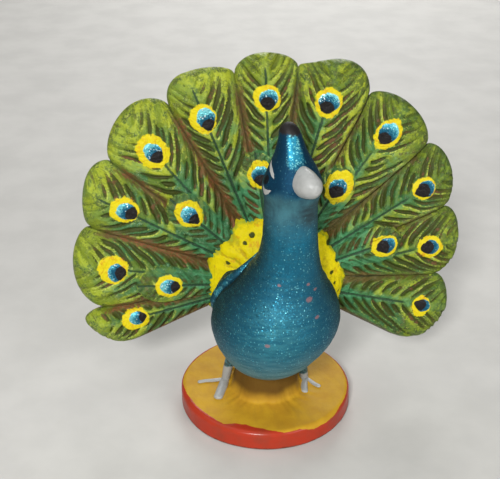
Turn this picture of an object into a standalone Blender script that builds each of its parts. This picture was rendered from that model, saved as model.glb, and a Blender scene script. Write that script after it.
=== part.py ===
"""Painted clay peacock figurine with a raised tail fan, cast in one piece with its round base.

The bird looks along -Y, +Z is up, and the origin is the centre of the base's underside. All sizes are in metres.
"""

import math

import bmesh
import bpy
from mathutils import Matrix, Vector

MM = 0.001

# Base disc
BASE_DIAMETER = 30.8 * MM
BASE_HEIGHT = 3.6 * MM
BASE_EDGE_ROUND = 0.9 * MM
BASE_SIDES = 48

# Bird, whose pose and proportions are shares of its height from belly to crest
BELLY_GAP = 5.8 * MM
BIRD_HEIGHT = 47.8 * MM
BIRD_SIDES = 22
BIRD_RINGS = 26

# Tail fan, a round plate of feathers that leans back from its root in the rump
FAN_RADIUS = 34.8 * MM
FAN_FRONT = 2.3 * MM
FAN_BACK = 1.8 * MM
FAN_LEAN = math.radians(8)
FAN_RISE = 0.15
VALLEY_DEPTH = 1.3 * MM
QUILL_DEPTH = 0.45 * MM
BARB_DEPTH = 0.5 * MM
NOTCH_DEPTH = 2.3 * MM
END_DROP = 6.0 * MM
RIM_ROUND = 0.14

# The valleys between the feathers, hand-set around the root, from the left lower edge over the top
FEATHER_EDGES = [
    math.radians(a)
    for a in (203, 187, 160, 140, 118, 99, 82.5, 62, 40, 20.5, -2, -30)
]

# Short feathers that lie over the valleys, each with its own quill
SHORT_FEATHER_ANGLES = [math.radians(a) for a in (178, 137, 97, 57, 18)]
SHORT_FEATHER_TIP = 0.70
SHORT_FEATHER_FOOT = 0.22
SHORT_FEATHER_WIDTH = 7.6 * MM
SHORT_FEATHER_RISE = 1.1 * MM

# Collar of scale feathers on the bird's back, in front of the fan
COLLAR_RADIUS = 12.4 * MM
COLLAR_DEPTH = 7.4 * MM

# Beak
BEAK_LENGTH = 6.0 * MM
BEAK_WIDTH = 4.8 * MM

# Legs, toes and the mound that joins the belly to the base
LEG_RADIUS = 1.25 * MM
LEG_SPREAD = 14.4 * MM
TOE_RADIUS = 0.8 * MM
TOE_LENGTH = 6.6 * MM
MOUND_DIAMETER = 11.4 * MM
SINK = 0.6 * MM

# Height share, centre x share, centre y share, half width share, half depth share
BIRD_STATIONS = (
    (0.000, 0.012, -0.106, 0.000, 0.000),
    (0.017, 0.013, -0.106, 0.066, 0.070),
    (0.062, 0.017, -0.108, 0.147, 0.150),
    (0.140, 0.021, -0.113, 0.211, 0.214),
    (0.239, 0.023, -0.116, 0.232, 0.234),
    (0.332, 0.027, -0.122, 0.205, 0.214),
    (0.415, 0.037, -0.145, 0.151, 0.158),
    (0.498, 0.050, -0.170, 0.110, 0.116),
    (0.581, 0.054, -0.185, 0.093, 0.098),
    (0.664, 0.054, -0.189, 0.089, 0.091),
    (0.737, 0.054, -0.191, 0.089, 0.091),
    (0.795, 0.057, -0.195, 0.098, 0.102),
    (0.851, 0.057, -0.191, 0.077, 0.087),
    (0.902, 0.054, -0.183, 0.051, 0.058),
    (0.954, 0.050, -0.174, 0.036, 0.039),
    (0.990, 0.046, -0.170, 0.021, 0.023),
    (1.000, 0.045, -0.169, 0.000, 0.000),
)

BELLY_Z = BASE_HEIGHT + BELLY_GAP
ROOT = Vector((0.033, 0.094, 0.285)) * BIRD_HEIGHT + Vector((0, 0, BELLY_Z))
FAN_UP = Vector((0, math.sin(FAN_LEAN), math.cos(FAN_LEAN)))
FAN_OUT = Vector((0, -math.cos(FAN_LEAN), math.sin(FAN_LEAN)))


def clear_scene():
    """Removes every object of the scene the script is run in."""
    for old in list(bpy.data.objects):
        bpy.data.objects.remove(old)


def paint(name, colour, roughness):
    """A painted-clay material of one plain colour."""
    material = bpy.data.materials.new(name)
    material.use_nodes = True
    shader = material.node_tree.nodes["Principled BSDF"]
    shader.inputs["Base Color"].default_value = (*colour, 1.0)
    shader.inputs["Roughness"].default_value = roughness
    shader.inputs["Metallic"].default_value = 0.0
    return material


def add_object(name, bm, material):
    """Makes one closed, outward-facing object from a bmesh."""
    bmesh.ops.remove_doubles(bm, verts=bm.verts, dist=0.002 * MM)
    bmesh.ops.triangulate(bm, faces=[f for f in bm.faces if len(f.verts) > 4])
    bmesh.ops.recalc_face_normals(bm, faces=bm.faces)
    mesh = bpy.data.meshes.new(name)
    bm.to_mesh(mesh)
    bm.free()
    mesh.materials.append(material)
    shape = bpy.data.objects.new(name, mesh)
    bpy.context.scene.collection.objects.link(shape)
    return shape


def spline(stations, share):
    """A smooth curve through the stations, read at a share of their first column."""
    last = len(stations) - 1
    i = next((k for k in range(last) if share <= stations[k + 1][0]), last - 1)
    a, b = stations[i], stations[i + 1]
    before, after = stations[max(i - 1, 0)], stations[min(i + 2, last)]
    span = b[0] - a[0]
    t = (share - a[0]) / span
    out = []
    for k in range(1, len(a)):
        slope_a = (b[k] - before[k]) / (b[0] - before[0]) * span
        slope_b = (after[k] - a[k]) / (after[0] - a[0]) * span
        bend = 3 * (b[k] - a[k]) - 2 * slope_a - slope_b
        close = 2 * (a[k] - b[k]) + slope_a + slope_b
        out.append(a[k] + t * (slope_a + t * (bend + t * close)))
    return out


def make_bird():
    """Belly, breast, neck, head and crest: one stack of level rings."""
    bm = bmesh.new()
    first, last = BIRD_STATIONS[1][0], BIRD_STATIONS[-2][0]
    rings = []
    for i in range(BIRD_RINGS):
        share = first + (last - first) * i / (BIRD_RINGS - 1)
        x, y, wide, deep = spline(BIRD_STATIONS, share)
        place = Matrix.Translation((x * BIRD_HEIGHT, y * BIRD_HEIGHT, BELLY_Z + share * BIRD_HEIGHT))
        size = Matrix.Diagonal((wide * BIRD_HEIGHT, deep * BIRD_HEIGHT, 1, 1))
        made = bmesh.ops.create_circle(bm, segments=BIRD_SIDES, radius=1, matrix=place @ size)
        rings.append({e for v in made["verts"] for e in v.link_edges})
    for low, high in zip(rings, rings[1:]):
        bmesh.ops.bridge_loops(bm, edges=list(low | high))
    for ring, station in ((rings[0], BIRD_STATIONS[0]), (rings[-1], BIRD_STATIONS[-1])):
        pole = Vector(station[1:3]) * BIRD_HEIGHT
        tip = bm.verts.new((pole.x, pole.y, BELLY_Z + station[0] * BIRD_HEIGHT))
        for edge in ring:
            bm.faces.new((*edge.verts, tip))
    return bm


def make_ball(radii, place, turn=None, sides=20, rings=12):
    """An ellipsoid with half-sizes radii, turned and then put in place."""
    bm = bmesh.new()
    turned = turn or Matrix.Identity(4)
    matrix = Matrix.Translation(place) @ turned @ Matrix.Diagonal((*radii, 1))
    bmesh.ops.create_uvsphere(bm, u_segments=sides, v_segments=rings, radius=1, matrix=matrix)
    return bm


def make_collar():
    """The dome of scale feathers in front of the fan, with a flatter swell behind it."""
    bm = make_ball((COLLAR_RADIUS, COLLAR_DEPTH, COLLAR_RADIUS), (0, 0, 0), sides=24, rings=12)
    for v in bm.verts:
        v.co.y *= 0.55 if v.co.y > 0 else 1
        v.co.z *= 0.85 if v.co.z < 0 else 1
    lean = Matrix.Rotation(-FAN_LEAN, 4, "X")
    offset = Vector((0.070, 0, -0.060)) * COLLAR_RADIUS
    bm.transform(Matrix.Translation(ROOT + offset) @ lean)
    return bm


def make_beak():
    """A blunt, stubby beak, turned a little to the bird's left."""
    bm = bmesh.new()
    half = BEAK_WIDTH / 2
    profile = ((0, 1.06), (0.35, 1.0), (0.6, 0.88), (0.8, 0.69), (0.93, 0.42))
    rings = []
    for along, wide in profile:
        matrix = Matrix.Translation((0, 0, along * BEAK_LENGTH)) @ Matrix.Scale(half * wide, 4)
        made = bmesh.ops.create_circle(bm, segments=14, radius=1, cap_ends=along == 0, matrix=matrix)
        rings.append({e for v in made["verts"] for e in v.link_edges})
    for low, high in zip(rings, rings[1:]):
        bmesh.ops.bridge_loops(bm, edges=list(low | high))
    tip = bm.verts.new((0, 0, BEAK_LENGTH))
    for edge in rings[-1]:
        bm.faces.new((*edge.verts, tip))
    aim = Vector((0.29, -0.95, -0.02)).to_track_quat("Z", "Y").to_matrix().to_4x4()
    face = Vector((0.072, -0.246, 0.832)) * BIRD_HEIGHT + Vector((0, 0, BELLY_Z))
    bm.transform(Matrix.Translation(face) @ aim)
    return bm


def make_wing(side):
    """The swell of a folded wing on the flank, its shoulder below the collar. Side is -1 or 1."""
    turn = Matrix.Rotation(math.radians(15), 4, "X")
    size = Vector((0.110, 0.150, 0.172)) * BIRD_HEIGHT
    place = Vector((0.022 + side * 0.104, -0.015, 0.226)) * BIRD_HEIGHT + Vector((0, 0, BELLY_Z))
    return make_ball(size, place, turn, sides=18, rings=14)


def make_rump():
    """The rounded rump behind the fan's root."""
    size = Vector((0.185, 0.135, 0.190)) * BIRD_HEIGHT
    return make_ball(size, ROOT + Vector((0, 0.020, -0.060)) * BIRD_HEIGHT, sides=18, rings=12)


def rim_radius(angle):
    """Distance from the root to the circle that the feather tips reach."""
    rise = FAN_RISE * FAN_RADIUS
    return rise * math.sin(angle) + math.sqrt(FAN_RADIUS**2 - (rise * math.cos(angle)) ** 2)


def feather_at(column):
    """The feather, the place across it from -1 to 1, and the angle of one column of the fan."""
    across = (-1, -0.6, -0.15, 0, 0.15, 0.6)
    feather, step = divmod(column, len(across))
    if feather == len(FEATHER_EDGES) - 1:
        feather, v = feather - 1, 1
    else:
        v = across[step]
    start, end = FEATHER_EDGES[feather], FEATHER_EDGES[feather + 1]
    return feather, v, start + (end - start) * (v + 1) / 2


def fan_outline(feather, v, angle):
    """The rounded end of each feather, with a notch between neighbours."""
    last = len(FEATHER_EDGES) - 2
    free = (feather == 0 and v < 0) or (feather == last and v > 0)
    if free:
        return rim_radius(angle) - END_DROP * (1 - math.sqrt(1 - v * v))
    return rim_radius(angle) - NOTCH_DEPTH * (1 - (1 - abs(v) ** 2.2) ** 0.6)


# Share of the rim radius at each row of the fan's front, then of its back
FRONT_ROWS = [0.12, 0.19] + [0.235 + 0.031 * k for k in range(22)] + [0.925, 0.955, 0.985]
BACK_ROWS = [1.0, 0.985, 0.94, 0.82, 0.6, 0.4, 0.22, 0.12]


def fan_point(row, column):
    """One vertex of the fan in world space."""
    feather, v, angle = feather_at(column)
    reach = fan_outline(feather, v, angle)
    front = row < len(FRONT_ROWS)
    rho = (FRONT_ROWS + BACK_ROWS)[row]
    body_share = min(1, max(0, (0.93 - rho) / 0.3))
    half_width = (FEATHER_EDGES[feather] - FEATHER_EDGES[feather + 1]) / 2
    chevron = 0.95 * abs(v) * half_width * rho * body_share if front else 0
    radius = reach * min(rho + chevron, 1)
    rounding = math.sqrt(max(0, 1 - max(0, (rho - 1 + RIM_ROUND) / RIM_ROUND) ** 2))
    side = min(angle - FEATHER_EDGES[-1], FEATHER_EDGES[0] - angle) * radius
    edge = max(0.3, math.sqrt(1 - (1 - min(1, side / (4 * MM))) ** 2))
    if front:
        height = FAN_FRONT
        height -= VALLEY_DEPTH * abs(v) ** 2.5 * min(1, rho / 0.3)
        if rho < 0.78:
            height -= QUILL_DEPTH if v == 0 else 0
        in_barbs = 2 <= row < len(FRONT_ROWS) - 3
        if in_barbs and row % 2 and v != 0:
            height -= BARB_DEPTH * min(1, 1.3 - abs(v) * 0.5)
    else:
        height = -FAN_BACK + 0.5 * VALLEY_DEPTH * abs(v) ** 2
    height *= rounding * edge
    return ROOT + Vector((math.cos(angle) * radius, 0, 0)) + FAN_UP * math.sin(angle) * radius + FAN_OUT * height


def make_fan():
    """The raised train: a radial profile spun round the root, then carved feather by feather."""
    bm = bmesh.new()
    row_of = bm.verts.layers.int.new("row")
    rows = len(FRONT_ROWS) + len(BACK_ROWS)
    columns = 6 * (len(FEATHER_EDGES) - 1) + 1
    made = bmesh.ops.create_circle(bm, segments=rows, radius=0.3)
    for row, v in enumerate(made["verts"]):
        v[row_of] = row
        v.co = Vector((1 + v.co.x, 0, v.co.y))
    profile = made["verts"] + list({e for v in made["verts"] for e in v.link_edges})
    sweep = math.radians(200)
    bmesh.ops.spin(
        bm, geom=profile, cent=(0, 0, 0), axis=(0, 0, 1), dvec=(0, 0, 0), angle=sweep, steps=columns - 1
    )
    for v in bm.verts:
        turned = math.atan2(v.co.y, v.co.x) % (2 * math.pi)
        turned = 0 if turned > math.radians(300) else turned
        v.co = fan_point(v[row_of], round(turned / sweep * (columns - 1)))
    bmesh.ops.holes_fill(bm, edges=[e for e in bm.edges if e.is_boundary], sides=0)
    return bm


def make_short_feather(angle):
    """A slim feather that lies on the fan, with its quill as a ridge line and barbs as chevrons."""
    bm = bmesh.new()
    foot, tip = SHORT_FEATHER_FOOT * FAN_RADIUS, SHORT_FEATHER_TIP * FAN_RADIUS
    rows = 15
    across = (-1, -0.62, -0.2, 0, 0.2, 0.62, 1)
    place = Matrix.Identity(4)
    bmesh.ops.create_grid(bm, x_segments=rows, y_segments=len(across) - 1, size=1, matrix=place)
    for v in bm.verts:
        row = round((v.co.x + 1) / 2 * rows)
        s = across[round((v.co.y + 1) / 2 * (len(across) - 1))]
        t = row / rows
        shape = math.sqrt(max(0, 1 - max(0, (t - 0.78) / 0.22) ** 2)) * (0.3 + 0.7 * min(1, t / 0.7) ** 0.8)
        half = SHORT_FEATHER_WIDTH / 2 * max(shape, 0.12)
        slant = 0.5 * half * abs(s) * (1 - t)
        rise = SHORT_FEATHER_RISE * (1 - 0.8 * s * s) * (0.35 + 0.65 * min(1, 4 * (1 - t)))
        rise -= BARB_DEPTH * 0.8 if row % 2 and 0 < abs(s) < 1 and t < 0.95 else 0
        rise -= QUILL_DEPTH if s == 0 and t < 0.7 else 0
        v.co = Vector((foot + (tip - foot) * t + slant, s * half, FAN_FRONT + rise))
    top = list(bm.faces)
    under = bmesh.ops.extrude_face_region(bm, geom=top, use_keep_orig=True)
    for v in [g for g in under["geom"] if isinstance(g, bmesh.types.BMVert)]:
        v.co.z = 0
    frame = Matrix(
        (
            (math.cos(angle), -math.sin(angle), 0, ROOT.x),
            (math.sin(angle) * FAN_UP.y, math.cos(angle) * FAN_UP.y, FAN_OUT.y, ROOT.y),
            (math.sin(angle) * FAN_UP.z, math.cos(angle) * FAN_UP.z, FAN_OUT.z, ROOT.z),
            (0, 0, 0, 1),
        )
    )
    bm.transform(frame)
    return bm


def make_base():
    """The round disc, with its upper and lower edges softly rounded."""
    bm = bmesh.new()
    place = Matrix.Translation((0, 0, BASE_HEIGHT / 2))
    radius = BASE_DIAMETER / 2
    bmesh.ops.create_cone(
        bm, cap_ends=True, segments=BASE_SIDES, radius1=radius, radius2=radius, depth=BASE_HEIGHT, matrix=place
    )
    rims = [e for e in bm.edges if len({round(v.co.z, 6) for v in e.verts}) == 1]
    upper = [e for e in rims if e.verts[0].co.z > BASE_HEIGHT / 2]
    lower = [e for e in rims if e.verts[0].co.z < BASE_HEIGHT / 2]
    bmesh.ops.bevel(
        bm, geom=upper, offset=BASE_EDGE_ROUND, offset_type="OFFSET", segments=3, profile=0.5, affect="EDGES"
    )
    bmesh.ops.bevel(
        bm, geom=lower, offset=BASE_EDGE_ROUND / 3, offset_type="OFFSET", segments=1, profile=0.5, affect="EDGES"
    )
    return bm


def make_mound():
    """The fluted mound of clay under the belly."""
    bm = bmesh.new()
    sides = 36
    low, high = BASE_HEIGHT - SINK, BELLY_Z + 0.06 * BIRD_HEIGHT
    levels = ((0, 1.3), (0.13, 1.12), (0.3, 0.94), (0.6, 0.88), (1.0, 1.0))
    rings = []
    for share, wide in levels:
        matrix = Matrix.Translation((0, -0.02 * BIRD_HEIGHT, low + (high - low) * share))
        made = bmesh.ops.create_circle(bm, segments=sides, radius=1, cap_ends=share in (0, 1), matrix=matrix)
        for k, v in enumerate(made["verts"]):
            flute = 1 + 0.07 * math.cos(math.tau * k * 9 / sides)
            centre = matrix.translation
            v.co = centre + (v.co - centre) * MOUND_DIAMETER / 2 * wide * flute
        rings.append({e for v in made["verts"] for e in v.link_edges})
    for lower, upper in zip(rings, rings[1:]):
        bmesh.ops.bridge_loops(bm, edges=list(lower | upper))
    return bm


def make_rod(start, end, radius, sides=10, end_scale=1.0):
    """A round bar between two points, for a leg or a toe, with domed ends."""
    bm = bmesh.new()
    along = end - start
    turn = along.to_track_quat("Z", "Y").to_matrix().to_4x4()
    bmesh.ops.create_uvsphere(bm, u_segments=sides, v_segments=8, radius=radius)
    for v in bm.verts:
        if v.co.z > 1e-9:
            v.co = Vector((v.co.x * end_scale, v.co.y * end_scale, v.co.z * end_scale + along.length))
    bm.transform(Matrix.Translation(start) @ turn)
    return bm


def make_legs():
    """Both legs and their toes, as a list of named bmeshes."""
    shapes = []
    floor = BASE_HEIGHT + 0.15 * TOE_RADIUS
    feet = (
        ("left", -1, 0.10, ((-0.98, -0.10, 0.75), (-0.36, -0.93, 0.86))),
        ("right", 1, 0.00, ((-0.14, -0.99, 0.62), (0.60, -0.80, 0.55))),
    )
    for name, side, back, toes in feet:
        ankle = Vector((side * LEG_SPREAD / 2, back * LEG_SPREAD, floor))
        thigh = Vector((ankle.x * 0.92, ankle.y - 0.02 * BIRD_HEIGHT, BELLY_Z + 0.10 * BIRD_HEIGHT))
        shapes.append((f"{name}_leg", make_rod(ankle, thigh, LEG_RADIUS)))
        for k, (x, y, reach) in enumerate(toes):
            aim = Vector((x, y, 0)) * TOE_LENGTH * reach
            shapes.append((f"{name}_toe_{k + 1}", make_rod(ankle, ankle + aim, TOE_RADIUS, end_scale=0.8)))
    return shapes


def build():
    """Joins every form of the casting into the one clay solid."""
    clay = paint("painted_clay", (0.10, 0.34, 0.20), 0.45)
    shapes = [
        ("bird", make_bird()),
        ("collar", make_collar()),
        ("beak", make_beak()),
        ("left_wing", make_wing(-1)),
        ("right_wing", make_wing(1)),
        ("rump", make_rump()),
        ("fan", make_fan()),
        ("mound", make_mound()),
        *make_legs(),
    ]
    for k, angle in enumerate(SHORT_FEATHER_ANGLES):
        shapes.append((f"short_feather_{k + 1}", make_short_feather(angle)))
    figurine = add_object("peacock_figurine", make_base(), clay)
    for name, bm in shapes:
        form = add_object(f"form_{name}", bm, clay)
        form.hide_render = True
        form.display_type = "WIRE"
        join = figurine.modifiers.new(name, "BOOLEAN")
        join.operation = "UNION"
        join.solver = "EXACT"
        join.object = form
    return figurine


clear_scene()
build()
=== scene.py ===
import math

import bmesh
import bpy
import numpy as np
from mathutils import Matrix, Vector, noise


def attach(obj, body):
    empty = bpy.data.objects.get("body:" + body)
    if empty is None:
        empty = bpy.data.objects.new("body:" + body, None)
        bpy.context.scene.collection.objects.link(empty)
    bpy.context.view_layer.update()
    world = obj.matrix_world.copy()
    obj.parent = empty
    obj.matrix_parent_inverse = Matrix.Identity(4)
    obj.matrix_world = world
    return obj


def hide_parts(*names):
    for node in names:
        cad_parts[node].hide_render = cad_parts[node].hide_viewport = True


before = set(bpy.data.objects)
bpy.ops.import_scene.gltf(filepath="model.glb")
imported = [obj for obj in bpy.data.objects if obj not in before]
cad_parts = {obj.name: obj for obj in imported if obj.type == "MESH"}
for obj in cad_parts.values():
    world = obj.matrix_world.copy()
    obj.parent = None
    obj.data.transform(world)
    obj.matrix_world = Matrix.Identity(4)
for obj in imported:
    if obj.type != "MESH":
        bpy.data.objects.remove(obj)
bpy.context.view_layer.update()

mm = 0.001


def unit(value):
    return np.clip(value, 0, 1)


def bell(value):
    # 1 at 0, fading on both sides
    return np.exp(-(value**2))


def stack(*columns):
    return np.column_stack(columns)


def ease(low, high, value):
    # 0 below low, 1 above high, smooth between
    t = unit((value - low) / (high - low))
    return t * t * (3 - 2 * t)


def lumps(points, size, seed):
    # soft random swells from about -1 to 1; points and size are in millimetres
    shift = Vector((seed * 3.7, seed * 1.9, seed * 5.3))
    return np.array([noise.noise(Vector(p) / size + shift) for p in points])


def pointsOf(mesh):
    flat = np.empty(len(mesh.vertices) * 3)
    mesh.vertices.foreach_get("co", flat)
    return flat.reshape(-1, 3)


def setPoints(mesh, points):
    mesh.vertices.foreach_set("co", np.ascontiguousarray(points).ravel())
    mesh.update()


def markPoints(mesh, **marks):
    # a number, or a vector, at each point, which the paint reads
    for name, values in marks.items():
        values = np.ascontiguousarray(values, dtype=float)
        kind, field = ("FLOAT", "value") if values.ndim == 1 else ("FLOAT_VECTOR", "vector")
        mesh.attributes.new(name, kind, "POINT").data.foreach_set(field, values.ravel())


def meshFrom(bm, name):
    mesh = bpy.data.meshes.new(name)
    bm.to_mesh(mesh)
    bm.free()
    return mesh


def tidyMesh(mesh, distance=0.004):
    # closes seams and poles, and turns the faces outwards; distance is in millimetres
    bm = bmesh.new()
    bm.from_mesh(mesh)
    bmesh.ops.remove_doubles(bm, verts=bm.verts, dist=distance * mm)
    bmesh.ops.dissolve_degenerate(bm, edges=bm.edges, dist=0.001 * mm)
    bmesh.ops.triangulate(bm, faces=[f for f in bm.faces if len(f.verts) > 4])
    bmesh.ops.recalc_face_normals(bm, faces=bm.faces)
    bm.to_mesh(mesh)
    bm.free()


def addObject(name, data):
    made = bpy.data.objects.new(name, data)
    bpy.context.scene.collection.objects.link(made)
    return made


def finishPiece(mesh, paint):
    tidyMesh(mesh)
    mesh.materials.append(paint)
    mesh.shade_smooth()
    piece = addObject(mesh.name, mesh)
    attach(piece, "root")
    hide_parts("peacock_figurine")
    print(mesh.name, len(mesh.vertices), "points")


def curveThrough(stations, at):
    # a smooth curve through rows of numbers, read along their first column
    table = np.array(stations, float)
    keys = table[:, 0]
    slopes = np.gradient(table[:, 1:], keys, axis=0)
    i = np.clip(np.searchsorted(keys, at) - 1, 0, len(keys) - 2)
    span = (keys[i + 1] - keys[i])[:, None]
    t = ((at - keys[i]) / (keys[i + 1] - keys[i]))[:, None]
    a, b = table[i, 1:], table[i + 1, 1:]
    sa, sb = slopes[i] * span, slopes[i + 1] * span
    return a + t * (sa + t * (3 * (b - a) - 2 * sa - sb + t * (2 * (a - b) + sa + sb)))


class Wire:
    # one socket of a material, so that shader maths reads as plain sums
    def __init__(self, paint, socket):
        self.paint = paint
        self.socket = socket

    def maths(self, operation, first, second):
        return self.paint.node("Math", {"operation": operation}, {0: first, 1: second})

    def sway(self, amount):
        # half the amount either way, for noise that runs from 0 to 1
        return amount * (self - 0.5)

    def __add__(self, other):
        return self.maths("ADD", self, other)

    def __radd__(self, other):
        return self.maths("ADD", other, self)

    def __sub__(self, other):
        return self.maths("SUBTRACT", self, other)

    def __rsub__(self, other):
        return self.maths("SUBTRACT", other, self)

    def __mul__(self, other):
        return self.maths("MULTIPLY", self, other)

    def __rmul__(self, other):
        return self.maths("MULTIPLY", other, self)


class Paint:
    def __init__(self, name, specular=0.5):
        self.material = bpy.data.materials.new(name)
        self.material.use_nodes = True
        self.tree = self.material.node_tree
        self.shader = self.tree.nodes["Principled BSDF"]
        self.shader.inputs["Specular IOR Level"].default_value = specular
        self.shader.inputs["Coat Roughness"].default_value = 0.22
        self.place = self.node("TexCoord", output="Object")

    def node(self, kind, settings=None, sockets=None, output=0):
        made = self.tree.nodes.new("ShaderNode" + kind)
        for key, value in (settings or {}).items():
            setattr(made, key, value)
        for key, value in (sockets or {}).items():
            self.feed(made.inputs[key], value)
        return Wire(self, made.outputs[output])

    def feed(self, socket, value):
        # the value is a wire, a number, a vector or the name of a colour
        if isinstance(value, Wire):
            self.tree.links.new(value.socket, socket)
        elif isinstance(value, str):
            socket.default_value = (*colours[value], 1)
        else:
            socket.default_value = value

    def axis(self, letter):
        return self.node("SeparateXYZ", {}, {0: self.place}, output=letter)

    def mark(self, name, vector=False):
        output = "Vector" if vector else "Fac"
        return self.node("Attribute", {"attribute_name": name}, output=output)

    def grain(self, size, detail=2, rough=0.55, at=None, stretch=None):
        # cloudy noise from 0 to 1 whose blobs are about size millimetres wide
        at = at or self.place
        if stretch:
            at = self.node("VectorMath", {"operation": "MULTIPLY"}, {0: at, 1: stretch})
        sockets = {"Vector": at, "Scale": 1 / (size * mm), "Detail": detail, "Roughness": rough}
        return self.node("TexNoise", {}, sockets)

    def step(self, value, low, high, start=0.0, end=1.0):
        # start below low, end above high, smooth between
        sockets = {"Value": value, "From Min": low, "From Max": high, "To Min": start, "To Max": end}
        return self.node("MapRange", {"interpolation_type": "SMOOTHSTEP"}, sockets)

    def fall(self, value, low, high):
        return self.step(value, low, high, 1.0, 0.0)

    def mix(self, factor, first, second):
        return self.node("Mix", {"data_type": "RGBA"}, {0: factor, 6: first, 7: second}, output=2)

    def lay(self, share, tint):
        # one more layer over the colours already there
        self.colour = self.mix(share, self.colour, tint)

    def blend(self, factor, first, second):
        return self.node("Mix", {"data_type": "FLOAT"}, {0: factor, 2: first, 3: second})

    def height(self, wire, depth):
        # depth is in millimetres
        sockets = {"Height": wire, "Distance": depth * mm, "Strength": 1.0}
        return self.node("Bump", {}, sockets)

    def flakes(self, size, tilt):
        # glitter: every grain has its own brightness and its own tilt
        sockets = {"Vector": self.place, "Scale": 1 / (size * mm)}
        cells = self.node("TexVoronoi", {}, sockets, output="Color")
        parts = self.node("SeparateColor", {}, {0: cells})
        chance = Wire(self, parts.socket.node.outputs[1])
        aside = self.node("VectorMath", {"operation": "SUBTRACT"}, {0: cells, 1: (0.5, 0.5, 0.5)})
        aside = self.node("VectorMath", {"operation": "SCALE"}, {0: aside, "Scale": tilt})
        upright = self.node("NewGeometry", output="Normal")
        facing = self.node("VectorMath", {"operation": "ADD"}, {0: upright, 1: aside})
        facing = self.node("VectorMath", {"operation": "NORMALIZE"}, {0: facing})
        return parts, chance, facing

    def mixVectors(self, factor, first, second):
        return self.node("Mix", {"data_type": "VECTOR"}, {0: factor, 4: first, 5: second}, output=1)

    def coat(self, **sockets):
        for name, value in {"Base_Color": self.colour, **sockets}.items():
            self.feed(self.shader.inputs[name.replace("_", " ")], value)
        return self.material


colours = {
    "umber": (0.14, 0.066, 0.025), "rust": (0.25, 0.078, 0.032), "olive": (0.05, 0.06, 0.01),
    "deepGreen": (0.036, 0.068, 0.018), "pine": (0.018, 0.048, 0.022), "teal": (0.035, 0.15, 0.055),
    "jade": (0.062, 0.25, 0.105), "leaf": (0.09, 0.16, 0.022), "moss": (0.19, 0.25, 0.018),
    "lime": (0.34, 0.41, 0.026), "paleLime": (0.52, 0.58, 0.12), "sunny": (0.4, 0.45, 0.028),
    "mud": (0.105, 0.095, 0.025), "yellow": (0.68, 0.56, 0.005), "amber": (0.62, 0.36, 0.008),
    "blackPaint": (0.009, 0.007, 0.007), "steel": (0.012, 0.1, 0.18), "lagoon": (0.045, 0.33, 0.43),
    "cyan": (0.26, 0.74, 0.76), "ocean": (0.01, 0.1, 0.165), "azure": (0.03, 0.34, 0.5),
    "midnight": (0.003, 0.04, 0.085), "dusk": (0.028, 0.062, 0.066), "slate": (0.045, 0.16, 0.19),
    "haze": (0.13, 0.26, 0.28), "grey": (0.37, 0.375, 0.36), "mustard": (0.54, 0.31, 0.022),
    "red": (0.4, 0.034, 0.013), "paleSpeckAndGlint": (0.2, 0.36, 0.22), "creaseShadow": (0.014, 0.018, 0.008),
    "paintedGlint": (0.85, 1.0, 1.0), "undersideShade": (0.05, 0.085, 0.08), "breastSheen": (0.045, 0.24, 0.3),
    "throat": (0.012, 0.15, 0.24), "mistDark": (0.028, 0.08, 0.1), "mistLight": (0.058, 0.18, 0.21),
    "flank": (0.015, 0.038, 0.048), "chinShadow": (0.01, 0.022, 0.026), "bareClay": (0.42, 0.19, 0.18),
    "shadeAndGrime": (0.025, 0.04, 0.028), "oldYellow": (0.36, 0.33, 0.01), "ochre": (0.34, 0.19, 0.008),
    "greenOchre": (0.26, 0.27, 0.012), "paintedLightYellow": (0.88, 0.73, 0.008), "darkGrey": (0.28, 0.29, 0.28),
    "honey": (0.47, 0.25, 0.02), "toffee": (0.38, 0.21, 0.025), "moundShade": (0.3, 0.16, 0.02),
    "bellyShadow": (0.085, 0.042, 0.01), "darkRed": (0.31, 0.04, 0.018), "wearAndContactShadow": (0.1, 0.035, 0.02),
    "floor": (0.56, 0.55, 0.52), "floorShade": (0.504, 0.495, 0.468),
}


fan = {
    "root": (1.58, 4.49, 23.0),
    "radius": 34.8, "rise": 0.15, "lean": 8,
    "front": 2.3, "back": 1.8, "rim": 0.14, "start": 0.1,
    "edges": (203, 187, 160, 140, 118, 99, 82.5, 62, 40, 20.5, -2, -30),
    "quills": (192, 171.6, 150, 129.2, 110.5, 91.5, 73.5, 52.8, 30.5, 10.1, -13.1),
    # how far each tip is pushed out and skewed to one side, and how deep the notches between them are
    "tipShift": (0.2, -0.05, -0.2, 0.9, 0.1, 0.0, 0.4, 0.1, 0.1, -0.7, 0.1),
    "skew": (0.6, -0.2, 0.4, 0.2, -0.3, 0.0, 0.9, 0.3, -0.2, -0.1, 0.5),
    "notches": (2.0, 3.8, 3.0, 2.5, 3.2, 2.8, 2.2, 3.0, 2.0, 3.3, 4.5, 3.2),
    "endDrop": 6.4, "puff": 0.45,
    "columns": 48, "flatRows": 122, "rimRows": 22, "backRows": 18,
    "valley": 1.3, "tilt": 0.25, "overlap": 0.35, "quillDepth": 0.36,
    "quillWidths": (0.27, 0.27, 0.27, 0.38, 0.27, 0.27, 0.34, 0.42, 0.38, 0.36, 0.36),
    "quillEnds": (0.75, 0.8, 0.93, 0.78, 0.94, 0.95, 0.8, 0.75, 0.75, 0.75, 0.75),
}

# lens-shaped cuts on both sides of a quill, in millimetres
barbs = {
    "long": {
        "pitch": 1.9, "lean": 0.46, "bend": 0.14, "cut": 0.38, "depth": 0.58, "reach": 6.4, "start": 0.5,
    },
    "short": {
        "pitch": 1.5, "lean": 0.6, "bend": 0.1, "cut": 0.3, "depth": 0.36, "reach": 3.8, "start": 0.4,
    },
}

shortFeathers = {"angles": (178, 137, 97, 56.5, 17.5), "foot": 7.5, "tip": 24.0, "width": 7.4, "rise": 0.8}
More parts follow.
